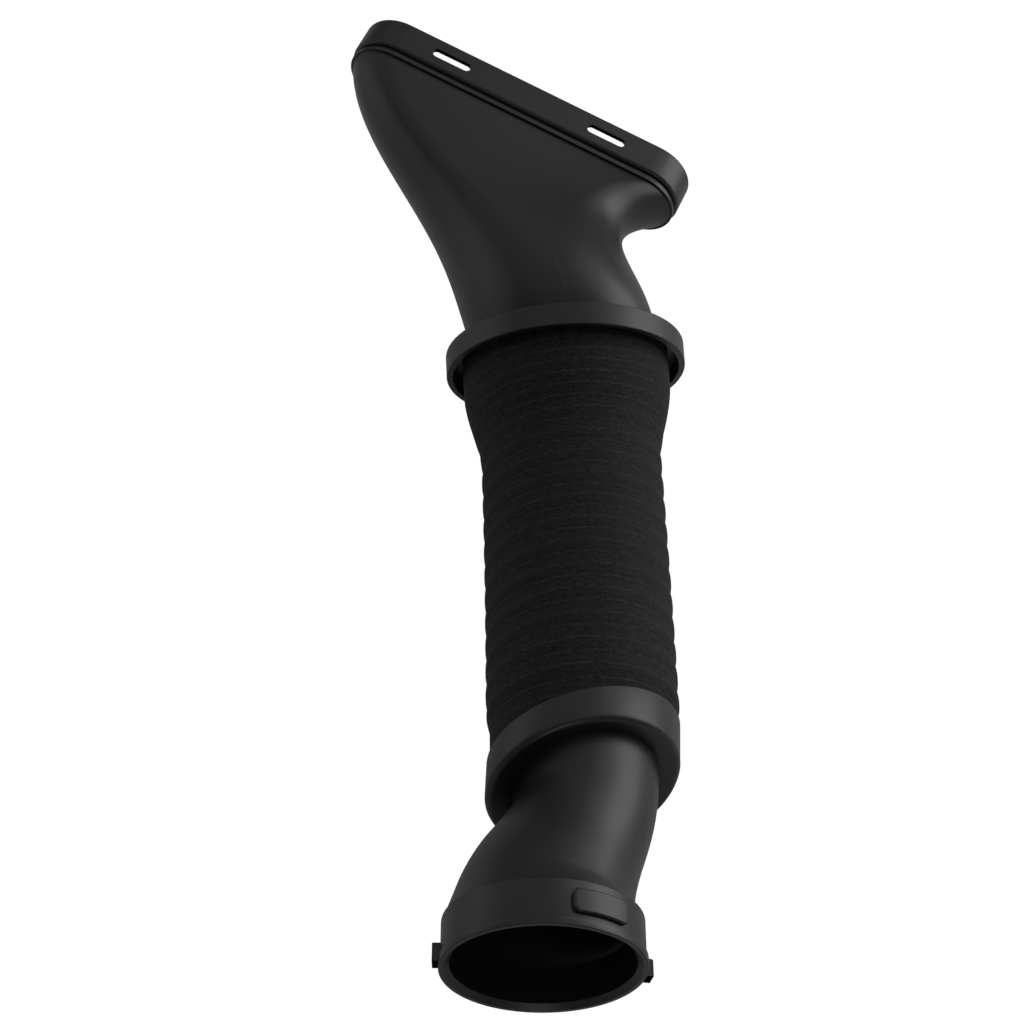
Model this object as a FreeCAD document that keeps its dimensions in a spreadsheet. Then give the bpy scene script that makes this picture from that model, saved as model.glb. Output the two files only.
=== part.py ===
"""Air duct: an oblong inlet funnel, a rippled textile hose and a bent outlet elbow, in millimetres.

The origin is the centre of the outlet socket where its round wall begins, just inside the lead-in.
+Y runs up the duct from the outlet to the inlet, and +Z is up.
"""
import math
import os

import FreeCAD
import Part
import Sketcher

doc = FreeCAD.newDocument("air_duct")
sheet = doc.addObject("Spreadsheet::Sheet", "Dims")

# Sizes in millimetres and angles in degrees, one named value a row.
SIZES = [
    # Walls and fits
    ("wall_thickness", 2.5),
    ("seat_gap", 0.4),
    ("overrun", 1.0),
    # Outlet mouth
    ("mouth_radius", 35.2),
    ("mouth_length", 17.6),
    ("mouth_edge", 0.8),
    ("lip_radius", 35.9),
    ("lip_length", 3.4),
    ("lip_edge", 0.3),
    ("socket_radius", 32.2),
    ("socket_depth", 16.0),
    ("lead_in", 2.0),
    # Neck of the elbow
    ("neck_root_radius", 33.6),
    ("neck_flare_radius", 31.0),
    ("neck_bend_radius", 25.8),
    ("neck_throat_radius", 23.8),
    ("neck_top_radius", 26.6),
    ("neck_top_yaw", -15.0),
    ("neck_sink", 3.5),
    # Pad and hook lugs on the outlet mouth
    ("pad_width", 22.0),
    ("pad_height", 8.6),
    ("pad_corner", 2.5),
    ("pad_rise", 1.6),
    ("pad_turn", 33.0),
    ("pad_setback", 5.0),
    ("lug_width", 8.0),
    ("lug_height", 8.4),
    ("lug_reach", 3.2),
    ("lug_wall", 1.6),
    ("left_lug_turn", 180.0),
    ("left_lug_setback", 2.0),
    ("right_lug_turn", 12.0),
    ("right_lug_setback", 0.0),
    # Cup collar of the elbow, placed by the centre of its slanted rim
    ("cup_x", 15.6),
    ("cup_y", 89.8),
    ("cup_z", -8.3),
    ("cup_yaw", -0.5),
    ("cup_pitch", 1.4),
    ("rim_yaw", -13.0),
    ("rim_pitch", -4.5),
    ("cup_height", 18.0),
    ("cup_depth", 11.0),
    ("cup_shoulder", 7.0),
    # Hose
    ("hose_radius", 36.0),
    ("hose_wall", 1.5),
    ("hose_ripple", 0.6),
    ("hose_pitch", 10.8),
    ("hose_end_inset", 1.5),
    ("hose_end_straight", 22.0),
    ("hose_top_radius", 41.8),
    ("hose_flare", 34.0),
    # Round collar of the funnel, placed by the centre of its skirt rim
    ("collar_x", 11.2),
    ("collar_y", 256.1),
    ("collar_z", 6.2),
    ("collar_yaw", -3.0),
    ("collar_pitch", 16.3),
    ("collar_gap", 4.2),
    ("collar_height", 9.4),
    ("collar_plate", 3.0),
    ("collar_edge", 0.5),
    ("tube_radius", 36.6),
    ("spigot_length", 12.0),
    # Funnel between the tube and the mouth: each section by its share of the way
    ("low_share", 0.30),
    ("low_end_radius", 35.5),
    ("low_half_straight", 4.0),
    ("waist_share", 0.54),
    ("waist_end_radius", 25.5),
    ("waist_half_straight", 18.0),
    ("high_share", 0.78),
    ("high_end_radius", 18.8),
    ("high_half_straight", 39.0),
    # Inlet mouth, placed by the centre of its rim
    ("inlet_x", -4.0),
    ("inlet_y", 375.0),
    ("inlet_z", 38.8),
    ("inlet_yaw", 23.5),
    ("inlet_pitch", 4.0),
    ("inlet_roll", 14.2),
    ("inlet_half_straight", 58.4),
    ("inlet_end_radius", 17.8),
    ("band_length", 15.0),
    ("band_wall", 2.2),
    ("band_edge", 1.6),
    ("bead_length", 1.6),
    ("bead_inset", 0.8),
    ("body_inset", 1.8),
    ("slot_width", 18.0),
    ("slot_height", 6.0),
    ("slot_offset", 36.0),
    ("slot_setback", 7.7),
]
for row, (alias, number) in enumerate(SIZES, start=1):
    sheet.set(f"A{row}", alias)
    sheet.set(f"B{row}", str(number))
    sheet.setAlias(f"B{row}", alias)
doc.recompute()


def size(alias):
    """Gives the number that the sheet holds under this name."""
    return float(sheet.get(alias))


def heading(x, y, z, yaw=0.0, pitch=0.0, roll=0.0):
    """Gives a placement whose local Z looks along +Y, turned to +X by yaw and up by pitch."""
    turn = FreeCAD.Rotation(FreeCAD.Vector(0, 0, 1), -yaw)
    lift = FreeCAD.Rotation(FreeCAD.Vector(1, 0, 0), pitch - 90.0)
    spin = FreeCAD.Rotation(FreeCAD.Vector(0, 0, 1), roll)
    return FreeCAD.Placement(FreeCAD.Vector(x, y, z), turn * lift * spin)


def along(place, distance, side=0.0, rise=0.0):
    """Gives the same heading, moved along its own axes."""
    return place * FreeCAD.Placement(FreeCAD.Vector(side, rise, distance), FreeCAD.Rotation())


def turned(angle):
    """Gives a turn about the local Z."""
    return FreeCAD.Placement(FreeCAD.Vector(), FreeCAD.Rotation(FreeCAD.Vector(0, 0, 1), angle))


def flat_to(edge, place):
    """Says whether the edge lies in a plane square to the placement's Z."""
    axis = place.Rotation.multVec(FreeCAD.Vector(0, 0, 1))
    heights = [axis.dot(point) for point in edge.discretize(5)]
    return max(heights) - min(heights) < 0.001


def bind(obj, **links):
    """Ties the object's properties to named sizes."""
    for name, formula in links.items():
        obj.setExpression(name, formula)
    return obj


def cylinder(name, place, radius, height):
    """Adds a cylinder that stands along the placement's Z."""
    obj = doc.addObject("Part::Cylinder", name)
    obj.Placement = place
    return bind(obj, Radius=radius, Height=height)


def cone(name, place, low, high, height):
    """Adds a cone that stands along the placement's Z."""
    obj = doc.addObject("Part::Cone", name)
    obj.Placement = place
    return bind(obj, Radius1=low, Radius2=high, Height=height)


def box(name, place, length, width, height):
    """Adds a box centred on the placement in X and Y that stands along its Z."""
    obj = doc.addObject("Part::Box", name)
    bind(obj, Length=length, Width=width, Height=height)
    doc.recompute()
    half = FreeCAD.Vector(-obj.Length.Value / 2, -obj.Width.Value / 2, 0)
    obj.Placement = place * FreeCAD.Placement(half, FreeCAD.Rotation())
    return obj


def ring(name, place, radius):
    """Adds one circle section."""
    obj = doc.addObject("Part::Circle", name)
    obj.Placement = place
    return bind(obj, Radius=radius)


def oblong(name, place, end_radius, half_straight):
    """Adds one oblong section: two half circles joined by two straight sides."""
    sketch = doc.addObject("Sketcher::SketchObject", name)
    far, rad = 30.0, 20.0
    vec = FreeCAD.Vector
    axis = vec(0, 0, 1)
    quarter = math.pi / 2
    right = Part.ArcOfCircle(Part.Circle(vec(far, 0, 0), axis, rad), -quarter, quarter)
    left = Part.ArcOfCircle(Part.Circle(vec(-far, 0, 0), axis, rad), quarter, 3 * quarter)
    sketch.addGeometry(right)
    sketch.addGeometry(Part.LineSegment(vec(far, rad, 0), vec(-far, rad, 0)))
    sketch.addGeometry(left)
    sketch.addGeometry(Part.LineSegment(vec(-far, -rad, 0), vec(far, -rad, 0)))
    for first, second in ((0, 1), (1, 2), (2, 3), (3, 0)):
        sketch.addConstraint(Sketcher.Constraint("Tangent", first, 2, second, 1))
    sketch.addConstraint(Sketcher.Constraint("Symmetric", 0, 3, 2, 3, -1, 1))
    sketch.addConstraint(Sketcher.Constraint("PointOnObject", 0, 3, -1))
    sketch.addConstraint(Sketcher.Constraint("Equal", 0, 2))
    number = sketch.addConstraint(Sketcher.Constraint("Radius", 0, rad))
    sketch.renameConstraint(number, "end_radius")
    sketch.setExpression("Constraints.end_radius", end_radius)
    number = sketch.addConstraint(Sketcher.Constraint("DistanceX", -1, 1, 0, 3, far))
    sketch.renameConstraint(number, "half_straight")
    sketch.setExpression("Constraints.half_straight", half_straight)
    sketch.Placement = place
    return sketch


def loft(name, sections, ruled=False):
    """Adds a solid through the sections in order."""
    obj = doc.addObject("Part::Loft", name)
    obj.Sections = sections
    obj.Solid = True
    obj.Ruled = ruled
    return obj


def fuse(name, shapes):
    """Joins the shapes into one."""
    obj = doc.addObject("Part::MultiFuse", name)
    obj.Shapes = shapes
    obj.Refine = True
    return obj


def cut(name, base, tool):
    """Takes the tool away from the base."""
    obj = doc.addObject("Part::Cut", name)
    obj.Base = base
    obj.Tool = tool
    return obj


def carve(name, base, tools):
    """Takes each tool away from the base in turn."""
    for tool in tools[:-1]:
        base = cut(f"{name}_less_{tool.Name}", base, tool)
    return cut(name, base, tools[-1])


def extrude(name, base, length):
    """Pushes a section out along its own normal."""
    obj = doc.addObject("Part::Extrusion", name)
    obj.Base = base
    obj.DirMode = "Normal"
    obj.Solid = True
    return bind(obj, LengthFwd=length)


def fillet(name, base, radius, pick):
    """Rounds the edges that the pick function accepts."""
    doc.recompute()
    obj = doc.addObject("Part::Fillet", name)
    obj.Base = base
    chosen = [i for i, edge in enumerate(base.Shape.Edges, start=1) if pick(edge)]
    obj.Edges = [(i, size(radius), size(radius)) for i in chosen]
    return obj


def between(start, finish, share, start_reach, finish_reach):
    """Gives a point of the smooth curve that leaves start and meets finish along their axes."""
    axis = FreeCAD.Vector(0, 0, 1)
    first = start.Base
    second = first + start.Rotation.multVec(axis) * start_reach
    fourth = finish.Base
    third = fourth - finish.Rotation.multVec(axis) * finish_reach
    rest = 1 - share
    near = first * rest**3 + second * (3 * share * rest**2)
    return near + third * (3 * share**2 * rest) + fourth * share**3


def facing(start, finish, share, reach):
    """Gives the placement square to that curve, with a reach that is the same at both ends."""
    step = 0.001
    low_share = max(0.0, share - step)
    high_share = min(1.0, share + step)
    way = between(start, finish, high_share, reach, reach) - between(start, finish, low_share, reach, reach)
    way.normalize()
    point = between(start, finish, share, reach, reach)
    yaw = math.degrees(math.atan2(way.x, way.y))
    pitch = math.degrees(math.asin(way.z))
    return heading(point.x, point.y, point.z, yaw, pitch)


def ease(share):
    """Gives a smooth step from 0 to 1."""
    return share * share * (3 - 2 * share)


def station(name, turn_names):
    """Gives the heading that the sheet places under this name."""
    spot = [size(f"{name}_{axis}") for axis in "xyz"]
    return heading(*spot, *[size(f"{turn}") for turn in turn_names])


# Headings that the pieces share
mouth = heading(0, -size("lead_in"), 0)
cup = station("cup", ("cup_yaw", "cup_pitch"))
cup_rim = station("cup", ("rim_yaw", "rim_pitch"))
collar = station("collar", ("collar_yaw", "collar_pitch"))
inlet = station("inlet", ("inlet_yaw", "inlet_pitch", "inlet_roll"))
cup_base = along(cup, -size("cup_height"))
cup_floor = along(cup, -size("cup_depth"))
plate_under = along(collar, size("collar_height") - size("collar_plate"))
collar_top = along(collar, size("collar_height"))
under_band = along(inlet, -size("band_length"))
overrun = size("overrun")

# Radii that come from what the pieces hold
END_RADIUS = "(Dims.hose_radius - Dims.hose_end_inset)"
CUP_ROOM = f"({END_RADIUS} + Dims.seat_gap)"
CUP_SPIGOT = f"({END_RADIUS} - Dims.hose_wall - Dims.seat_gap)"
TOP_SPIGOT = "(Dims.hose_top_radius - Dims.hose_wall - Dims.seat_gap)"
SKIRT_ROOM = "(Dims.hose_top_radius + Dims.collar_gap)"

# Outlet elbow: the neck runs from the mouth band to the base of the cup.
neck_start = along(mouth, size("mouth_length") - size("wall_thickness"))
slant = station("cup", ("neck_top_yaw", "cup_pitch"))
neck_finish = FreeCAD.Placement(along(cup_base, size("neck_sink")).Base, slant.Rotation)
neck_reach = (neck_finish.Base - neck_start.Base).Length / 3
neck_radii = ("neck_root_radius", "neck_flare_radius", "neck_bend_radius", "neck_throat_radius",
              "neck_top_radius")
neck_steps = len(neck_radii) - 1
neck_places = [facing(neck_start, neck_finish, i / neck_steps, neck_reach) for i in range(neck_steps)]
neck_places.append(along(cup_base, size("neck_sink")))
neck_rings = []
neck_bores = []
for i, (place, radius) in enumerate(zip(neck_places, neck_radii)):
    neck_rings.append(ring(f"neck_ring_{i}", place, f"Dims.{radius}"))
    neck_bores.append(ring(f"neck_bore_{i}", place, f"Dims.{radius} - Dims.wall_thickness"))
neck_outer = loft("neck_outer", neck_rings)
neck_inner = loft("neck_inner", neck_bores)
band = cylinder("mouth_band", mouth, "Dims.mouth_radius", "Dims.mouth_length")
band_round = fillet("mouth_band_round", band, "mouth_edge",
                    lambda edge: edge.Closed and edge.CenterOfMass.y > size("mouth_length") / 2)
lip = cylinder("mouth_lip", mouth, "Dims.lip_radius", "Dims.lip_length")
lip_round = fillet("mouth_lip_round", lip, "lip_edge", lambda edge: edge.Closed)

# The cup is a round can with a rounded shoulder, cut off at the slant of its rim.
cup_can = cylinder("cup_can", cup_base, f"{CUP_ROOM} + Dims.wall_thickness",
                   f"Dims.cup_height + {CUP_ROOM}")
cup_round = fillet("cup_round", cup_can, "cup_shoulder",
                   lambda edge: edge.Closed and edge.CenterOfMass.distanceToPoint(cup_base.Base) < overrun)
above_rim = box("above_rim", cup_rim, f"4 * {CUP_ROOM}", f"4 * {CUP_ROOM}", f"2 * {CUP_ROOM}")
cup_solid = cut("cup_solid", cup_round, above_rim)

# The raised pad is a round-cornered block kept to a thin ring round the mouth band.
pad_heading = along(mouth * turned(size("pad_turn")), size("pad_setback"), 0, -size("mouth_radius"))
pad_block = box("pad_block", pad_heading, "Dims.pad_width", "Dims.mouth_radius", "Dims.pad_height")
pad_corners = fillet("pad_corners", pad_block, "pad_corner",
                     lambda edge: abs(edge.Length - size("mouth_radius")) < size("seat_gap"))
pad_ring = cylinder("pad_ring", mouth, "Dims.mouth_radius + Dims.pad_rise", "Dims.mouth_length")
pad = doc.addObject("Part::Common", "pad")
pad.Base = pad_corners
pad.Tool = pad_ring

# Each hook lug is a block on the side of the mouth, hollow towards the outlet.
lugs = []
for name in ("left", "right"):
    spin = turned(size(f"{name}_lug_turn"))
    middle = size("mouth_radius") + (size("lug_reach") - size("wall_thickness")) / 2
    side = along(mouth * spin, size(f"{name}_lug_setback"), middle)
    block = box(f"{name}_lug_block", side, "Dims.lug_reach + Dims.wall_thickness", "Dims.lug_width",
                "Dims.lug_height")
    hollow = box(f"{name}_lug_hollow", along(side, -size("lug_wall"), -size("lug_wall")),
                 "Dims.lug_reach + Dims.wall_thickness", "Dims.lug_width - 2 * Dims.lug_wall",
                 "Dims.lug_height")
    lugs.append(cut(f"{name}_lug", block, hollow))

elbow_solid = fuse("elbow_solid", [neck_outer, band_round, lip_round, cup_solid, pad] + lugs)
socket = cylinder("socket", along(mouth, -overrun), "Dims.socket_radius",
                  "Dims.socket_depth + Dims.overrun")
lead = cone("lead", mouth, "Dims.socket_radius + Dims.lead_in", "Dims.socket_radius", "Dims.lead_in")
cup_room = cylinder("cup_room", cup_floor, CUP_ROOM, f"Dims.cup_depth + {CUP_ROOM}")
spigot_core = cylinder("spigot_core", cup_floor, CUP_SPIGOT, f"Dims.cup_depth + {CUP_ROOM}")
cup_groove = cut("cup_groove", cup_room, spigot_core)
spigot_hole = cylinder("cup_spigot_hole", cup_floor, f"{CUP_SPIGOT} - Dims.wall_thickness",
                       f"Dims.cup_depth + {CUP_ROOM}")
way_ring = ring("way_ring", along(cup_floor, overrun),
                f"{CUP_SPIGOT} - Dims.wall_thickness - Dims.seat_gap")
cup_way = loft("cup_way", [neck_bores[-1], way_ring], True)
elbow = carve("outlet_elbow", elbow_solid, [cup_groove, spigot_hole, cup_way, neck_inner, socket, lead])

# Hose: straight in the cup and on the spigot, with a smooth bend between them.
hose_low = along(cup_floor, size("hose_end_straight"))
hose_high = along(plate_under, -size("spigot_length") - 2 * overrun)
hose_reach = (hose_high.Base - hose_low.Base).Length / 3
marks = [between(hose_low, hose_high, i / 100, hose_reach, hose_reach) for i in range(101)]
bend_length = sum((far - near).Length for near, far in zip(marks, marks[1:]))
turns = round(bend_length / size("hose_pitch"))
hose_stations = [(cup_floor, END_RADIUS), (along(hose_low, -overrun), END_RADIUS)]
for i in range(2 * turns + 1):
    share = i / (2 * turns)
    left = (1 - share) * bend_length
    swell = ease(max(0.0, 1 - left / size("hose_flare")))
    base = "Dims.hose_radius" if i % 2 else "Dims.hose_radius - Dims.hose_ripple"
    radius = f"{base} + (Dims.hose_top_radius - Dims.hose_radius) * {swell:.4f}"
    hose_stations.append((facing(hose_low, hose_high, share, hose_reach), radius))
hose_stations.append((along(plate_under, -size("spigot_length") - overrun), "Dims.hose_top_radius"))
hose_stations.append((plate_under, "Dims.hose_top_radius"))
hose_rings = []
hose_bores = []
for i, (place, radius) in enumerate(hose_stations):
    hose_rings.append(ring(f"hose_ring_{i}", place, radius))
    hose_bores.append(ring(f"hose_bore_{i}", place, f"{radius} - Dims.hose_wall"))
hose = cut("hose", loft("hose_outer", hose_rings, True), loft("hose_inner", hose_bores, True))

# Inlet funnel: oblong sections that turn from the round tube to the mouth band.
funnel_start = along(collar_top, -overrun)
funnel_finish = along(under_band, -2 * size("bead_length"))
funnel_reach = (funnel_finish.Base - funnel_start.Base).Length / 3
funnel_sections = (
    (0.0, "Dims.tube_radius - 2 * Dims.seat_gap", "Dims.seat_gap"),
    (size("low_share"), "Dims.low_end_radius", "Dims.low_half_straight"),
    (size("waist_share"), "Dims.waist_end_radius", "Dims.waist_half_straight"),
    (size("high_share"), "Dims.high_end_radius", "Dims.high_half_straight"),
    (1.0, "Dims.inlet_end_radius - Dims.body_inset", "Dims.inlet_half_straight"),
)
outer_sections = []
inner_sections = []
for i, (share, radius, straight) in enumerate(funnel_sections):
    point = between(funnel_start, funnel_finish, share, funnel_reach, funnel_reach)
    yaw = size("collar_yaw") + (size("inlet_yaw") - size("collar_yaw")) * share
    pitch = size("collar_pitch") + (size("inlet_pitch") - size("collar_pitch")) * share
    place = heading(point.x, point.y, point.z, yaw, pitch, size("inlet_roll") * share)
    outer_sections.append(oblong(f"funnel_outer_{i}", place, radius, straight))
    inner_sections.append(oblong(f"funnel_inner_{i}", place, f"{radius} - Dims.wall_thickness", straight))
funnel_outer = loft("funnel_outer", outer_sections)
funnel_inner = loft("funnel_inner", inner_sections)
band_section = oblong("band_section", under_band, "Dims.inlet_end_radius", "Dims.inlet_half_straight")
inlet_block = extrude("inlet_block", band_section, "Dims.band_length")
inlet_band = fillet("inlet_band", inlet_block, "band_edge", lambda edge: flat_to(edge, inlet))
bead_section = oblong("bead_section", funnel_finish, "Dims.inlet_end_radius - Dims.bead_inset",
                      "Dims.inlet_half_straight")
bead = extrude("bead", bead_section, "Dims.bead_length")
core_section = oblong("core_section", funnel_finish, "Dims.inlet_end_radius - Dims.body_inset",
                      "Dims.inlet_half_straight")
core = extrude("core", core_section, "2 * Dims.bead_length + Dims.overrun")
collar_can = cylinder("collar_can", collar, f"{SKIRT_ROOM} + Dims.wall_thickness", "Dims.collar_height")
collar_round = fillet("collar_round", collar_can, "collar_edge", lambda edge: edge.Closed)
skirt_room = cylinder("skirt_room", along(collar, -overrun), SKIRT_ROOM,
                      "Dims.collar_height - Dims.collar_plate + Dims.overrun")
collar_ring = cut("collar_ring", collar_round, skirt_room)
spigot_foot = along(plate_under, -size("spigot_length"))
top_spigot = cylinder("top_spigot", spigot_foot, TOP_SPIGOT, "Dims.spigot_length + Dims.overrun")
funnel_solid = fuse("funnel_solid", [funnel_outer, inlet_band, bead, core, collar_ring, top_spigot])
BODY_HOLE = "Dims.inlet_end_radius - Dims.body_inset - Dims.wall_thickness"
hole_section = oblong("hole_section", funnel_finish, BODY_HOLE, "Dims.inlet_half_straight")
mouth_hole = extrude("mouth_hole", hole_section, "Dims.band_length + 4 * Dims.bead_length")
room_section = oblong("room_section", along(under_band, size("band_wall")),
                      "Dims.inlet_end_radius - Dims.band_wall", "Dims.inlet_half_straight")
band_room = extrude("band_room", room_section, "Dims.band_length")
tube_hole = cylinder("tube_hole", along(plate_under, -overrun), "Dims.tube_radius - Dims.wall_thickness",
                     "Dims.collar_plate")
spigot_bore = cylinder("spigot_bore", along(spigot_foot, -overrun), f"{TOP_SPIGOT} - Dims.wall_thickness",
                       "Dims.spigot_length + Dims.overrun")
slots = []
for name, side in (("left", -1), ("right", 1)):
    place = along(inlet, -size("slot_setback") - size("slot_height") / 2, side * size("slot_offset"),
                  -size("inlet_end_radius"))
    slots.append(box(f"{name}_slot", place, "Dims.slot_width", "Dims.inlet_end_radius", "Dims.slot_height"))
holes = [funnel_inner, mouth_hole, band_room, tube_hole, spigot_bore]
funnel = carve("inlet_funnel", funnel_solid, holes + slots)

doc.recompute()
for obj in doc.Objects:
    if "Invalid" in obj.State or "Error" in obj.State:
        raise RuntimeError(f"{obj.Label} did not build")
pieces = (elbow, hose, funnel)
for piece in pieces:
    if piece.Shape.isNull() or not piece.Shape.isValid():
        raise RuntimeError(f"{piece.Label} has no valid shape")
os.makedirs("parts", exist_ok=True)
for piece in pieces:
    piece.Shape.exportStep(f"parts/{piece.Label}.step")
    print(piece.Label, len(piece.Shape.Solids), "solid,", round(piece.Shape.Volume), "mm3")
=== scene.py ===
# %% [markdown]
# # An engine air duct, dressed for its portrait
# The duct is three pieces: a moulded funnel, a textile hose and a moulded elbow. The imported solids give
# every piece its place and size in metres, so this script never moves them. It adds the finish of each
# surface, a hose with a true helical ripple, an elbow whose edges roll, round ends for the funnel's
# slots, the light and the camera.

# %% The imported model
import math

import bmesh
import bpy
from mathutils import Matrix, Vector


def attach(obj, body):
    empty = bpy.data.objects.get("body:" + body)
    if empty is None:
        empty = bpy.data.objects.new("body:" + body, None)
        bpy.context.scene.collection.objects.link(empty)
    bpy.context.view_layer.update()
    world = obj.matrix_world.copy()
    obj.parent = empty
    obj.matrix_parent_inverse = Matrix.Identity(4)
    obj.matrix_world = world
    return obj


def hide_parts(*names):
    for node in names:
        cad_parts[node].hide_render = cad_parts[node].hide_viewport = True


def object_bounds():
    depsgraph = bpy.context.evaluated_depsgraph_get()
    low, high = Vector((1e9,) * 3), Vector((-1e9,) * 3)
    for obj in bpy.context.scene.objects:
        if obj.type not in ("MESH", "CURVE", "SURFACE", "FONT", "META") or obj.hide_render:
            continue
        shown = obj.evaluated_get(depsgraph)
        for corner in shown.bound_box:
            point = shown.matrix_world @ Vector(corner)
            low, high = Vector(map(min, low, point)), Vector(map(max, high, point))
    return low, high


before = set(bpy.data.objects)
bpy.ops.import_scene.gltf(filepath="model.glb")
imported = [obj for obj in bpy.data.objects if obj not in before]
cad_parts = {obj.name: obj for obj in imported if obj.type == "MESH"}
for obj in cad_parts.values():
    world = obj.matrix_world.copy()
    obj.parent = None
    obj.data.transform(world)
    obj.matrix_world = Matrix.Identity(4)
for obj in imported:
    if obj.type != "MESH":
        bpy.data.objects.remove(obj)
solid_box = [list(corner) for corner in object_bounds()]
MM = 0.001
WELD = 0.001 * MM
print("solids span", [round(high - low, 4) for low, high in zip(*solid_box)])

# %% [markdown]
# ## The camera
# The photograph looks up the duct from above its outlet. A long lens shows the hose with nearly the
# same width from end to end, so the camera stands well back. Its tilt and place were measured from the
# rims of the collars: a circle seen at a slant is an ellipse, and the ellipse's flatness gives the
# tilt.

# %% The camera's place
PICTURE = 1024
FOCAL_PIXELS = 2200.0
SENSOR = 36.0
TILT = math.radians(36.3)
# The outlet socket's centre as the camera sees it: right, up and away, in millimetres.
OUTLET_RIGHT, OUTLET_UP, OUTLET_AWAY = 10.7, -153.9, 748.2

turn = Matrix.Rotation(TILT, 4, "X")
camera_data = bpy.data.cameras.new("portrait_camera")
camera_data.sensor_width = SENSOR
camera_data.lens = FOCAL_PIXELS * SENSOR / PICTURE
camera = bpy.data.objects.new("portrait_camera", camera_data)
place = -(turn @ Vector((OUTLET_RIGHT, OUTLET_UP, -OUTLET_AWAY))) * MM
camera.matrix_world = Matrix.Translation(place) @ turn
bpy.context.collection.objects.link(camera)
bpy.context.scene.camera = camera
print("lens", round(camera_data.lens, 1), "mm")

# %% [markdown]
# ## Finishes
# Colours are written as sRGB hex values, the way a paint chart gives them. Shaders work in linear
# light, so one function converts them. One more adds a node with its settings and its links, which keeps
# each finish short enough to read as a recipe. The third starts an empty finish.

# %% Helpers for finishes


def linear(code):
    """Turns an sRGB hex value into a linear colour."""
    channels = [int(code[i:i + 2], 16) / 255 for i in (1, 3, 5)]
    bent = [c / 12.92 if c <= 0.04045 else ((c + 0.055) / 1.055)**2.4 for c in channels]
    return (*bent, 1.0)


def add(tree, kind, settings=None, **sockets):
    """Adds a node, sets its properties, and fills its sockets with numbers or links."""
    made = tree.nodes.new(kind)
    for name, value in (settings or {}).items():
        setattr(made, name, value)
    for name, value in sockets.items():
        key = int(name[1:]) if name[1:].isdigit() else name.replace("_", " ")
        if isinstance(value, bpy.types.NodeSocket):
            tree.links.new(value, made.inputs[key])
        else:
            made.inputs[key].default_value = value
    return made


def finish(name):
    """Starts an empty finish, and gives it with its tree and its shader."""
    material = bpy.data.materials.new(name)
    material.use_nodes = True
    tree = material.node_tree
    tree.nodes.clear()
    shader = add(tree, "ShaderNodeBsdfPrincipled")
    add(tree, "ShaderNodeOutputMaterial", Surface=shader.outputs["BSDF"])
    return material, tree, shader


# %% [markdown]
# ### Moulded polypropylene
# The funnel and the elbow look injection moulded in black plastic, and polypropylene is assumed. A spark
# eroded tool would leave such a fine even grit on the part, and the skin of the plastic flows, so the
# gloss wanders a little. The eye sees a dark satin grey with broad soft highlights and no mirror.

# %% Moulded polypropylene
GRIT = 0.5 * MM
FLOW = 30.0 * MM


def moulded_plastic():
    """Makes the black moulded plastic."""
    material, tree, shader = finish("moulded_polypropylene")
    where = add(tree, "ShaderNodeTexCoord").outputs["Object"]
    flow = add(tree, "ShaderNodeTexNoise", Vector=where, Scale=1 / FLOW, Detail=4.0, Roughness=0.55)
    grit = add(tree, "ShaderNodeTexNoise", Vector=where, Scale=1 / GRIT, Detail=2.0, Roughness=0.6)
    tone = add(tree, "ShaderNodeMix", {"data_type": "RGBA"}, Factor=flow.outputs["Fac"],
               i6=linear("#121212"), i7=linear("#171717"))
    gloss = add(tree, "ShaderNodeMapRange", Value=flow.outputs["Fac"], From_Min=0.3, From_Max=0.7,
                To_Min=0.36, To_Max=0.42)
    bump = add(tree, "ShaderNodeBump", Height=grit.outputs["Fac"], Strength=0.12, Distance=0.05 * MM)
    tree.links.new(tone.outputs[2], shader.inputs["Base Color"])
    tree.links.new(gloss.outputs["Result"], shader.inputs["Roughness"])
    tree.links.new(bump.outputs["Normal"], shader.inputs["Normal"])
    shader.inputs["IOR"].default_value = 1.49
    return material


plastic = moulded_plastic()
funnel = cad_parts["inlet_funnel"]
funnel.data.materials.clear()
funnel.data.materials.append(plastic)

# %% [markdown]
# ### Coated textile
# The hose looks like black coated cloth wound with a wire, and polyester is assumed. Its yarns show as
# fine ribs that follow the helix, two to each turn of the wire. The coating is dull, and the fibres catch
# specks of pale lint.

# %% Coated textile
HOSE_PITCH = 10.8
HOSE_GIRTH = 226.0
RIBS_PER_TURN = 2.0
RIB_HEIGHT = 0.5
YARN_LENGTH = 3.0
YARN_WIDTH = 0.9
WEAVE = 1.0 * MM
LINT = 1.1 * MM
LINT_FREE = 0.84


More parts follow.
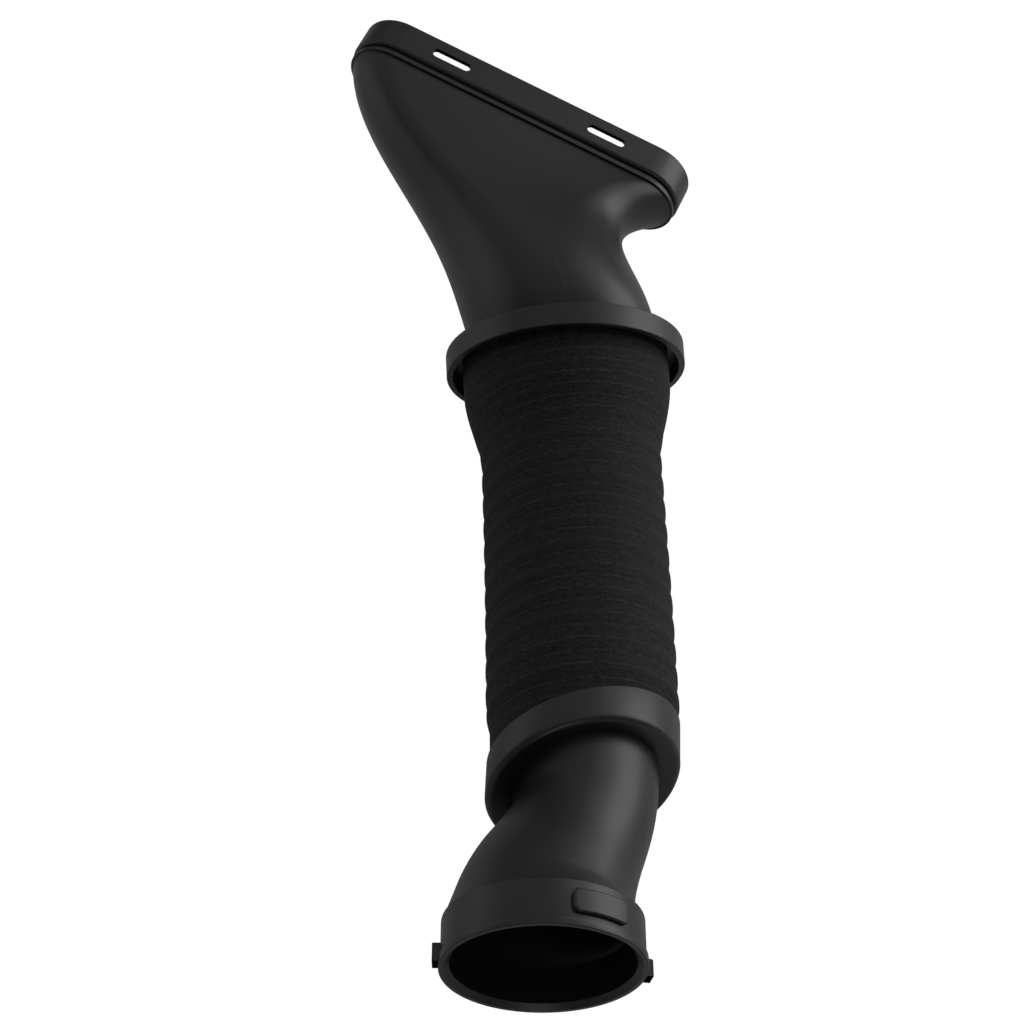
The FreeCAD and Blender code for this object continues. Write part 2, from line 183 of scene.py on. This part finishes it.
def coated_textile():
    """Makes the ribbed black cloth, on a UV map with U round the hose and V in turns along it."""
    material, tree, shader = finish("coated_polyester_textile")
    uv = add(tree, "ShaderNodeUVMap", {"uv_map": "wrap"}).outputs["UV"]
    where = add(tree, "ShaderNodeTexCoord").outputs["Object"]
    split = add(tree, "ShaderNodeSeparateXYZ", Vector=uv)
    lead = add(tree, "ShaderNodeMath", {"operation": "SUBTRACT"}, i0=split.outputs["Y"],
               i1=split.outputs["X"])
    angle = add(tree, "ShaderNodeMath", {"operation": "MULTIPLY"}, i0=lead.outputs[0],
                i1=2 * math.pi * RIBS_PER_TURN)
    wave = add(tree, "ShaderNodeMath", {"operation": "SINE"}, i0=angle.outputs[0])
    rib = add(tree, "ShaderNodeMapRange", {"interpolation_type": "SMOOTHSTEP"}, Value=wave.outputs[0],
              From_Min=0.7, From_Max=1.0)
    weave = add(tree, "ShaderNodeTexNoise", Vector=where, Scale=1 / WEAVE, Detail=2.0, Roughness=0.6)
    threads = add(tree, "ShaderNodeMapping", Vector=uv,
                  Scale=(HOSE_GIRTH / YARN_LENGTH, HOSE_PITCH / YARN_WIDTH, 1.0))
    yarns = add(tree, "ShaderNodeTexNoise", Vector=threads.outputs["Vector"], Scale=1.0, Detail=1.0)
    both = add(tree, "ShaderNodeMath", {"operation": "ADD"}, i0=weave.outputs["Fac"],
               i1=yarns.outputs["Fac"])
    grain = add(tree, "ShaderNodeMapRange", Value=both.outputs[0], From_Min=0.75, From_Max=1.25)
    height = add(tree, "ShaderNodeMath", {"operation": "MULTIPLY_ADD"}, i0=rib.outputs["Result"],
                 i1=RIB_HEIGHT, i2=grain.outputs["Result"])
    bump = add(tree, "ShaderNodeBump", Height=height.outputs[0], Strength=0.6, Distance=0.3 * MM)
    specks = add(tree, "ShaderNodeTexVoronoi", Vector=where, Scale=1 / LINT, Randomness=1.0)
    lint = add(tree, "ShaderNodeMapRange", Value=specks.outputs["Distance"], From_Min=0.1, From_Max=0.22,
               To_Min=1.0, To_Max=0.0)
    chosen = add(tree, "ShaderNodeMath", {"operation": "GREATER_THAN"}, i0=specks.outputs["Color"],
                 i1=LINT_FREE)
    shown = add(tree, "ShaderNodeMath", {"operation": "MULTIPLY"}, i0=lint.outputs[0], i1=chosen.outputs[0])
    yarn = add(tree, "ShaderNodeMix", {"data_type": "RGBA"}, Factor=grain.outputs["Result"],
               i6=linear("#060606"), i7=linear("#202020"))
    raised = add(tree, "ShaderNodeMath", {"operation": "MULTIPLY"}, i0=rib.outputs["Result"],
                 i1=grain.outputs["Result"])
    ribbed = add(tree, "ShaderNodeMix", {"data_type": "RGBA"}, Factor=raised.outputs[0], i6=yarn.outputs[2],
                 i7=linear("#2b2b2b"))
    cloth = add(tree, "ShaderNodeMix", {"data_type": "RGBA"}, Factor=shown.outputs[0], i6=ribbed.outputs[2],
                i7=linear("#4a4a4a"))
    tree.links.new(cloth.outputs[2], shader.inputs["Base Color"])
    tree.links.new(bump.outputs["Normal"], shader.inputs["Normal"])
    shader.inputs["Roughness"].default_value = 0.75
    shader.inputs["Specular IOR Level"].default_value = 0.25
    return material


textile = coated_textile()

# %% [markdown]
# ## The hose
# The hose leaves the elbow's cup, bends gently and swells to fit the funnel's larger spigot. Its ripple
# is one long helix, because the wire inside it is one long spring. A ring of vertices is extruded along
# the centre line, and each ring's vertices are then pulled in where the groove between two turns
# passes. The groove is narrow and the crest is broad, as cloth is when it is stretched over a wire.

# %% The hose's centre line
CUP = Vector((15.6, 89.8, -8.3))
CUP_YAW, CUP_PITCH, CUP_DEPTH = -0.5, 1.4, 11.0
RIM_YAW, RIM_PITCH = -13.0, -4.5
COLLAR = Vector((11.2, 256.1, 6.2))
COLLAR_YAW, COLLAR_PITCH, COLLAR_ROOM = -3.0, 16.3, 6.4
CUP_STRAIGHT = 22.0
BEND_MARKS = 200
SPIGOT_STRAIGHT = 14.0
HOSE_RADIUS, END_RADIUS, TOP_RADIUS = 36.0, 34.5, 41.8
HOSE_FLARE = 34.0
HOSE_WALL = 1.5


def way(yaw, pitch):
    """Gives the direction that looks along +Y, turned to +X by yaw and up by pitch, in degrees."""
    y, p = math.radians(yaw), math.radians(pitch)
    return Vector((math.sin(y) * math.cos(p), math.cos(y) * math.cos(p), math.sin(p)))


low_way, high_way = way(CUP_YAW, CUP_PITCH), way(COLLAR_YAW, COLLAR_PITCH)
rim_way = way(RIM_YAW, RIM_PITCH)
cup_floor = CUP - low_way * CUP_DEPTH
bend_low = cup_floor + low_way * CUP_STRAIGHT
plate = COLLAR + high_way * COLLAR_ROOM
bend_high = plate - high_way * SPIGOT_STRAIGHT
bend_reach = (bend_high - bend_low).length / 3


def curve(start, start_way, end, end_way, reach, t):
    """Gives the smooth curve that leaves its start and meets its end along their directions."""
    a, b, c, d = start, start + start_way * reach, end - end_way * reach, end
    u = 1 - t
    return a * u**3 + b * (3 * t * u * u) + c * (3 * t * t * u) + d * t**3


def bend(t):
    """Gives the bent part of the centre line, from 0 at the cup to 1 at the collar."""
    return curve(bend_low, low_way, bend_high, high_way, bend_reach, t)


marks = [bend(i / BEND_MARKS) for i in range(BEND_MARKS + 1)]
bend_length = sum((far - near).length for near, far in zip(marks, marks[1:]))
hose_length = CUP_STRAIGHT + bend_length + SPIGOT_STRAIGHT


def centre(s):
    """Gives the point of the centre line that is s millimetres up the hose from the cup's floor."""
    if s < CUP_STRAIGHT:
        return cup_floor + low_way * s
    if s > CUP_STRAIGHT + bend_length:
        return bend_high + high_way * (s - CUP_STRAIGHT - bend_length)
    return bend((s - CUP_STRAIGHT) / bend_length)


print("hose length", round(hose_length, 1), "mm")

# %% The hose's skin
ROUND = 128
HOSE_FOOT = 5.5
RINGS_PER_TURN = 12
GROOVE, GROOVE_SHARPNESS = 0.58, 1.6
CUFF, CUFF_FADE = 26.0, 26.0
SWELL_EARLY, SWELL_LENGTH = 6.0, 10.0
LOOK_AHEAD = 0.2


def ease(x):
    """Gives a smooth step from 0 to 1."""
    x = min(1.0, max(0.0, x))
    return x * x * (3 - 2 * x)


def radius(s, angle):
    """Gives the hose's radius at s up the hose and at an angle round it."""
    above_cup = ease((s - CUP_STRAIGHT + SWELL_EARLY) / SWELL_LENGTH)
    below_top = hose_length - SPIGOT_STRAIGHT - s
    swell = ease(1 - below_top / HOSE_FLARE)
    base = END_RADIUS + (HOSE_RADIUS - END_RADIUS) * above_cup + (TOP_RADIUS - HOSE_RADIUS) * swell
    phase = 2 * math.pi * s / HOSE_PITCH - angle
    groove = (0.5 + 0.5 * math.cos(phase))**GROOVE_SHARPNESS
    fade = above_cup * ease((hose_length - s - CUFF) / CUFF_FADE)
    return base - GROOVE * groove * fade


def outward(ahead, angle):
    """Gives the direction at an angle round a centre line, from +X by way of the underside."""
    right = Vector((1, 0, 0))
    right = (right - ahead * right.dot(ahead)).normalized()
    return right * math.cos(angle) + ahead.cross(right) * math.sin(angle)


def rim_height(angle, size):
    """Gives the height over the cup's middle at which the slanted rim crosses a hose of this radius."""
    return -outward(low_way, angle).dot(rim_way) * size / low_way.dot(rim_way)


def first_ring(mesh, about, segments):
    """Makes a ring whose vertices know their angle, and gives its vertices and edges."""
    ring = bmesh.ops.create_circle(mesh, cap_ends=False, segments=segments, radius=1.0)["verts"]
    for vert in ring:
        vert[about] = math.atan2(vert.co.y, vert.co.x)
    return ring, list({e for v in ring for e in v.link_edges})


def next_ring(mesh, edges):
    """Extrudes a ring of edges, and gives the new ring's vertices and edges."""
    made = bmesh.ops.extrude_edge_only(mesh, edges=edges)["geom"]
    ring = [v for v in made if isinstance(v, bmesh.types.BMVert)]
    fresh = set(ring)
    return ring, [e for e in made if isinstance(e, bmesh.types.BMEdge) and set(e.verts) <= fresh]


def new_piece(name, mesh, material):
    """Turns a finished mesh into an object with one material, at the origin."""
    data = bpy.data.meshes.new(name)
    mesh.to_mesh(data)
    mesh.free()
    piece = bpy.data.objects.new(name, data)
    piece.data.materials.append(material)
    bpy.context.collection.objects.link(piece)
    return piece


def hose_skin():
    """Extrudes a ring up the centre line, and shapes each ring as it is made."""
    mesh = bmesh.new()
    along = mesh.verts.layers.float.new("along")
    about = mesh.verts.layers.float.new("about")
    ring, edges = first_ring(mesh, about, ROUND)
    rings = round(hose_length / HOSE_PITCH * RINGS_PER_TURN)
    for step in range(rings + 1):
        level = HOSE_FOOT + (hose_length - HOSE_FOOT) * step / rings
        slant = max(0.0, 1 - level / CUP_STRAIGHT)
        if step:
            ring, edges = next_ring(mesh, edges)
        for vert in ring:
            angle = vert[about]
            s = level + slant * rim_height(angle, END_RADIUS)
            far, near = centre(min(hose_length, s + LOOK_AHEAD)), centre(s - LOOK_AHEAD)
            ahead = (far - near).normalized()
            vert.co = (centre(s) + outward(ahead, angle) * radius(s, angle)) * MM
            vert[along] = s / HOSE_PITCH
    bmesh.ops.recalc_face_normals(mesh, faces=mesh.faces)
    wrap = mesh.loops.layers.uv.new("wrap")
    for face in mesh.faces:
        face.smooth = True
        # A face that crosses the seam has turns from both ends of the map, so its low ones move up by one.
        turns = [loop.vert[about] / (2 * math.pi) for loop in face.loops]
        for loop, turned in zip(face.loops, turns):
            shift = 1.0 if max(turns) - turned > 0.5 else 0.0
            loop[wrap].uv = (turned + shift, loop.vert[along])
    return mesh


hose = new_piece("rippled_hose", hose_skin(), textile)
wall = hose.modifiers.new("wall", "SOLIDIFY")
wall.thickness = HOSE_WALL * MM
wall.offset = -1.0
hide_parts("hose")
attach(hose, "root")
print("hose faces", len(hose.data.polygons))

# %% [markdown]
# ## The elbow
# The elbow's skin is one closed surface. A ring starts at the rim of the mouth, runs up the outside to
# the slanted rim of the cup, turns over it, and runs down the inside to where it began. Each edge that
# a mould rounds gets a few close rings, and so the light rolls over it. The neck follows a curve that
# leaves the mouth straight and meets the cup at a slant. Its radius passes smoothly through five
# widths.

# %% The elbow's sections
MOUTH_FRONT = Vector((0.0, -2.0, 0.0))
MOUTH_WAY = Vector((0.0, 1.0, 0.0))
LEAD_IN, SOCKET_RADIUS, SOCKET_DEPTH = 2.0, 32.2, 16.0
MOUTH_RADIUS, MOUTH_LENGTH, MOUTH_EDGE = 35.2, 17.6, 0.8
LIP_RADIUS, LIP_LENGTH, LIP_EDGE = 35.9, 3.4, 0.3
NECK_START, NECK_CLEAR, NECK_TOP_YAW = 15.1, 2.5, -7.0
NECK_RADII = (33.2, 30.0, 27.0, 26.6, 27.4)
NECK_RINGS, NECK_LOOK = 28, 0.01
PLASTIC_WALL = 2.5
CUP_RADIUS, CUP_ROOM, CUP_FLOOR = 36.7, 34.9, 5.0
CUP_HEIGHT, CUP_RECESS, CUP_EDGE, RIM_EDGE = 16.2, 1.8, 2.6, 0.4
BASE_PITCH = -10.5
EDGE_STEPS = 4

base_way = way(RIM_YAW, BASE_PITCH)
cup_base = CUP - low_way * CUP_HEIGHT
neck_high = CUP - low_way * (CUP_HEIGHT - CUP_RECESS)
neck_low = MOUTH_FRONT + MOUTH_WAY * NECK_START
neck_high_way = way(NECK_TOP_YAW, CUP_PITCH)
neck_reach = (neck_high - neck_low).length / 3


def through(values, t):
    """Gives the smooth curve through evenly spaced values, at t from 0 to 1."""
    last = len(values) - 1
    i = min(int(t * last), last - 1)
    f = t * last - i
    a, b, c, d = (values[min(max(i + k, 0), last)] for k in (-1, 0, 1, 2))
    return b + 0.5 * f * (c - a + f * (2 * a - 5 * b + 4 * c - d + f * (3 * (b - c) + d - a)))


def rounded(centre_height, centre_radius, size, start, sweep):
    """Gives the heights and radii of a rounded edge, from an angle through a sweep in degrees."""
    angles = [math.radians(start + sweep * i / EDGE_STEPS) for i in range(EDGE_STEPS + 1)]
    return [(centre_height + size * math.sin(a), centre_radius + size * math.cos(a)) for a in angles]


def neck_line(t):
    """Gives the neck's centre line, from 0 at the mouth to 1 at the cup."""
    return curve(neck_low, MOUTH_WAY, neck_high, neck_high_way, neck_reach, t)


def neck(t):
    """Gives a ring of the neck: its spot, its direction, which leans to the cup's base, and its radius."""
    ahead = neck_line(min(1.0, t + NECK_LOOK)) - neck_line(max(0.0, t - NECK_LOOK))
    return neck_line(t), ahead.normalized().lerp(base_way, t**2).normalized(), through(NECK_RADII, t)


def elbow_sections():
    """Lists the elbow's rings, each as a spot, a direction and a radius."""
    rings = []
    lip = [(0.0, SOCKET_RADIUS + LEAD_IN)]
    lip += rounded(LIP_EDGE, LIP_RADIUS - LIP_EDGE, LIP_EDGE, -90, 90)
    lip += rounded(LIP_LENGTH - LIP_EDGE, LIP_RADIUS - LIP_EDGE, LIP_EDGE, 0, 90)
    lip.append((LIP_LENGTH, MOUTH_RADIUS))
    lip += rounded(MOUTH_LENGTH - MOUTH_EDGE, MOUTH_RADIUS - MOUTH_EDGE, MOUTH_EDGE, 0, 90)
    rings += [(MOUTH_FRONT + MOUTH_WAY * up, MOUTH_WAY, size) for up, size in lip]
    shares = [i / NECK_RINGS for i in range(NECK_RINGS + 1)]
    clear = MOUTH_FRONT.y + MOUTH_LENGTH + NECK_CLEAR
    rings += [neck(t) for t in shares if neck(t)[0].y > clear]
    shoulder = rounded(CUP_EDGE, CUP_RADIUS - CUP_EDGE, CUP_EDGE, -90, 90)
    rings += [(cup_base + base_way * up, base_way, size) for up, size in shoulder]
    rim = rounded(-RIM_EDGE, CUP_RADIUS - RIM_EDGE, RIM_EDGE, 0, 90)
    rim += rounded(-RIM_EDGE, CUP_ROOM + RIM_EDGE, RIM_EDGE, 90, 90)
    rings += [(CUP + rim_way * up, rim_way, size) for up, size in rim]
    rings.append((cup_base + base_way * CUP_FLOOR, base_way, CUP_ROOM))
    inner = [neck(t) for t in reversed(shares)]
    rings += [(spot, ahead, size - PLASTIC_WALL) for spot, ahead, size in inner]
    bore = ((SOCKET_DEPTH, SOCKET_RADIUS), (LEAD_IN, SOCKET_RADIUS), (0.0, SOCKET_RADIUS + LEAD_IN))
    rings += [(MOUTH_FRONT + MOUTH_WAY * up, MOUTH_WAY, size) for up, size in bore]
    return rings


# %% The elbow's skin
SHARP = math.radians(40)


def elbow_skin(mesh):
    """Extrudes the ring through the elbow's sections and closes it on itself."""
    about = mesh.verts.layers.float.new("about")
    ring, edges = first_ring(mesh, about, ROUND)
    for step, (spot, ahead, size) in enumerate(elbow_sections()):
        if step:
            ring, edges = next_ring(mesh, edges)
        for vert in ring:
            vert.co = (spot + outward(ahead, vert[about]) * size) * MM
    bmesh.ops.remove_doubles(mesh, verts=mesh.verts, dist=WELD)


# %% [markdown]
# The mouth carries a raised pad and two hook lugs. The pad is a flat grid whose corners are pulled in
# to a radius, wrapped round the band and lifted a little. Each lug is a small block with rounded edges,
# hollow where a catch enters.

# %% Pad and lugs
PAD_WIDTH, PAD_LENGTH, PAD_CORNER, PAD_RISE = 22.0, 8.6, 2.5, 1.6
PAD_ANGLE, PAD_SETBACK, PAD_EDGE = -57.0, 5.0, 0.5
PAD_COLUMNS, PAD_ROWS = 36, 16
LUG_WIDTH, LUG_LENGTH, LUG_REACH, LUG_EDGE = 5.6, 6.8, 2.8, 1.1
LUG_WALL, LUG_SINK, LUG_EDGE_STEPS = 1.2, 0.8, 3
# Each lug's angle round the mouth in degrees, and its setback from the rim.
LUGS = ((180.0, 2.0), (12.0, 0.0))


def add_pad(mesh):
    """Adds the raised pad, wrapped round the mouth band."""
    half_width, half_length = PAD_WIDTH / 2, PAD_LENGTH / 2
    made = bmesh.ops.create_grid(mesh, x_segments=PAD_COLUMNS, y_segments=PAD_ROWS, size=0.5)["verts"]
    top = bmesh.ops.extrude_face_region(mesh, geom=list({f for v in made for f in v.link_faces}))["geom"]
    raised = {v for v in top if isinstance(v, bmesh.types.BMVert)}
    middle = MOUTH_FRONT + MOUTH_WAY * (PAD_SETBACK + half_length)
    for vert in list(made) + list(raised):
        x, y = vert.co.x * PAD_WIDTH, vert.co.y * PAD_LENGTH
        over_x = max(abs(x) - half_width + PAD_CORNER, 0.0)
        over_y = max(abs(y) - half_length + PAD_CORNER, 0.0)
        over = math.hypot(over_x, over_y)
        pull = min(1.0, PAD_CORNER / over) if over else 1.0
        x -= math.copysign(over_x * (1 - pull), x)
        y -= math.copysign(over_y * (1 - pull), y)
        edge = PAD_CORNER - over * pull
        lift = -PAD_RISE
        if vert in raised:
            lift = PAD_RISE - PAD_EDGE * (1 - min(1.0, edge / PAD_EDGE))**2
        angle = math.radians(PAD_ANGLE) + x / MOUTH_RADIUS
        vert.co = (middle + MOUTH_WAY * y + outward(MOUTH_WAY, angle) * (MOUTH_RADIUS + lift)) * MM


def add_lug(mesh, angle, setback):
    """Adds one hook lug on the side of the mouth."""
    out = outward(MOUTH_WAY, math.radians(angle))
    reach = LUG_REACH + LUG_SINK
    inside = MOUTH_FRONT + MOUTH_WAY * setback + out * (MOUTH_RADIUS - LUG_SINK)
    block = bmesh.ops.create_cube(mesh, size=1.0)["verts"]
    faces = list({f for v in block for f in v.link_faces})
    across = MOUTH_WAY.cross(out)
    spread = Matrix((out * reach, across * LUG_WIDTH, MOUTH_WAY * LUG_LENGTH)).transposed()
    shift = inside + out * reach / 2 + MOUTH_WAY * LUG_LENGTH / 2
    for vert in block:
        vert.co = (spread @ vert.co + shift) * MM
    front = min(faces, key=lambda f: f.calc_center_median().y)
    bmesh.ops.inset_region(mesh, faces=[front], thickness=LUG_WALL * MM)
    hollow = bmesh.ops.extrude_discrete_faces(mesh, faces=[front])["faces"][0]
    bmesh.ops.translate(mesh, verts=hollow.verts, vec=MOUTH_WAY * (LUG_LENGTH - LUG_WALL) * MM)
    outer = [e for v in block for e in v.link_edges if e.other_vert(v) in block]
    bmesh.ops.bevel(mesh, geom=list(set(outer)), offset=LUG_EDGE * MM, segments=LUG_EDGE_STEPS, profile=0.5,
                    affect="EDGES")


elbow_mesh = bmesh.new()
elbow_skin(elbow_mesh)
add_pad(elbow_mesh)
for lug_angle, lug_setback in LUGS:
    add_lug(elbow_mesh, lug_angle, lug_setback)
bmesh.ops.recalc_face_normals(elbow_mesh, faces=elbow_mesh.faces)
for face in elbow_mesh.faces:
    face.smooth = True
for edge in elbow_mesh.edges:
    edge.smooth = edge.calc_face_angle(0.0) < SHARP
elbow = new_piece("moulded_elbow", elbow_mesh, plastic)
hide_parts("outlet_elbow")
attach(elbow, "root")
print("elbow faces", len(elbow.data.polygons))

# %% [markdown]
# ## Slot frames
# The slots in the funnel's band have round ends. A thin frame sits flush in each square cut of the
# solid and leaves a hole with round ends. One ring of points runs round the hole. The same ring, spread
# outward and held inside a rectangle, gives the frame's outer edge.

# %% Slot frames
INLET = Vector((-4.0, 375.0, 38.8))
INLET_YAW, INLET_PITCH, INLET_ROLL = 23.5, 4.0, 14.2
INLET_END_RADIUS, BAND_WALL = 17.8, 2.2
SLOT_WIDTH, SLOT_HEIGHT, SLOT_OFFSET, SLOT_SETBACK = 18.0, 6.0, 36.0, 7.7
HOLE_WIDTH, HOLE_HEIGHT, HOLE_ROUND = 17.4, 4.2, 48
FRAME_LAP, FRAME_SINK, FRAME_SPREAD = 0.1, 0.02, 5.0

inlet_turn = Matrix.Rotation(math.radians(-INLET_YAW), 3, "Z")
inlet_turn = inlet_turn @ Matrix.Rotation(math.radians(INLET_PITCH - 90), 3, "X")
inlet_turn = inlet_turn @ Matrix.Rotation(math.radians(INLET_ROLL), 3, "Z")


def held(value, limit):
    """Keeps a value between a limit and its negative."""
    return max(-limit, min(limit, value))


def add_slot_frame(mesh, about, side):
    """Adds the frame of one slot, on one side of the band's middle."""
    end = HOLE_HEIGHT / 2
    front, back = FRAME_SINK - INLET_END_RADIUS, BAND_WALL - INLET_END_RADIUS
    ring, edges = first_ring(mesh, about, HOLE_ROUND)
    sections = ((front, False), (front, True), (back, True), (back, False), (front, False))
    for step, (depth, outer) in enumerate(sections):
        if step:
            ring, edges = next_ring(mesh, edges)
        for vert in ring:
            x, z = end * math.cos(vert[about]), end * math.sin(vert[about])
            x += math.copysign(HOLE_WIDTH / 2 - end, x)
            if outer:
                x = held(x * FRAME_SPREAD, SLOT_WIDTH / 2 + FRAME_LAP)
                z = held(z * FRAME_SPREAD, SLOT_HEIGHT / 2 + FRAME_LAP)
            spot = Vector((side * SLOT_OFFSET + x, depth, z - SLOT_SETBACK))
            vert.co = (INLET + inlet_turn @ spot) * MM


slot_mesh = bmesh.new()
slot_about = slot_mesh.verts.layers.float.new("about")
for slot_side in (-1, 1):
    add_slot_frame(slot_mesh, slot_about, slot_side)
bmesh.ops.remove_doubles(slot_mesh, verts=slot_mesh.verts, dist=WELD)
bmesh.ops.recalc_face_normals(slot_mesh, faces=slot_mesh.faces)
slot_frames = new_piece("slot_frames", slot_mesh, plastic)
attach(slot_frames, "root")

# %% [markdown]
# ## Floor and light
# A plain white floor lies just under the duct. Two soft lamps to the right give the long highlights on
# the plastic. A large one above, a small one on the left and one in front fill the other sides, and the
# world's grey light keeps the shadows open. The floor and the world look white to the camera, but they
# light the duct only at a plain level.

# %% Floor
FLOOR_GAP = 0.5 * MM
FLOOR_SIZE, FLOOR_MIDDLE = 6.0, 0.2
FLOOR_GLOW, FLOOR_GLOW_SHARE = 1.1, 0.9


def seen_directly(tree):
    """Gives 1 for what the camera sees, also through a clear piece, and 0 for light that bounces."""
    ray = add(tree, "ShaderNodeLightPath").outputs
    seen = add(tree, "ShaderNodeMath", {"operation": "MAXIMUM"}, i0=ray["Is Camera Ray"],
               i1=ray["Is Transmission Ray"])
    return seen.outputs[0]


def white_floor():
    """Makes the floor: white to the eye, and still able to take a soft shadow."""
    material = bpy.data.materials.new("white_floor")
    material.use_nodes = True
    tree = material.node_tree
    tree.nodes.clear()
    share = add(tree, "ShaderNodeMath", {"operation": "MULTIPLY"}, i0=seen_directly(tree),
                i1=FLOOR_GLOW_SHARE)
    paint = add(tree, "ShaderNodeBsdfDiffuse", Color=linear("#e6e6e6"))
    glow = add(tree, "ShaderNodeEmission", Color=linear("#ffffff"), Strength=FLOOR_GLOW)
    mix = add(tree, "ShaderNodeMixShader", i0=share.outputs[0], i1=paint.outputs[0], i2=glow.outputs[0])
    add(tree, "ShaderNodeOutputMaterial", Surface=mix.outputs[0])
    return material


floor_mesh = bmesh.new()
bmesh.ops.create_grid(floor_mesh, x_segments=1, y_segments=1, size=FLOOR_SIZE / 2)
floor_level = solid_box[0][2] - FLOOR_GAP
bmesh.ops.translate(floor_mesh, verts=floor_mesh.verts, vec=(0, FLOOR_MIDDLE, floor_level))
floor = new_piece("floor", floor_mesh, white_floor())

# %% Light


def lamp(name, spot, aim, size, power):
    """Adds a square soft lamp at a spot, turned to its aim."""
    data = bpy.data.lights.new(name, "AREA")
    data.size = size
    data.energy = power
    made = bpy.data.objects.new(name, data)
    made.location = spot
    made.rotation_euler = (Vector(aim) - Vector(spot)).to_track_quat("-Z", "Y").to_euler()
    bpy.context.collection.objects.link(made)


MIDDLE = (0.0, 0.18, 0.0)
WORLD_GREY, WORLD_WHITE = 0.15, 1.0
lamp("right_high_lamp", spot=(0.79, 0.71, 0.71), aim=(0.0, 0.05, 0.0), size=0.8, power=1.9)
lamp("right_low_lamp", spot=(1.1, 0.45, 0.25), aim=(0.0, 0.1, 0.0), size=0.9, power=6.3)
lamp("top_lamp", spot=(-0.1, 0.7, 1.3), aim=MIDDLE, size=2.2, power=4.2)
lamp("left_lamp", spot=(-1.0, 0.5, 0.3), aim=MIDDLE, size=0.8, power=1.0)
lamp("front_lamp", spot=(0.1, -0.9, 0.5), aim=(0.0, 0.0, 0.0), size=0.4, power=0.75)

world = bpy.data.worlds.new("studio")
bpy.context.scene.world = world
world.use_nodes = True
sky = world.node_tree
sky.nodes.clear()
grey = add(sky, "ShaderNodeBackground", Color=linear("#ffffff"), Strength=WORLD_GREY)
white = add(sky, "ShaderNodeBackground", Color=linear("#ffffff"), Strength=WORLD_WHITE)
mixed = add(sky, "ShaderNodeMixShader", i0=seen_directly(sky), i1=grey.outputs[0], i2=white.outputs[0])
add(sky, "ShaderNodeOutputWorld", Surface=mixed.outputs[0])
bpy.context.scene.view_settings.view_transform = "Standard"
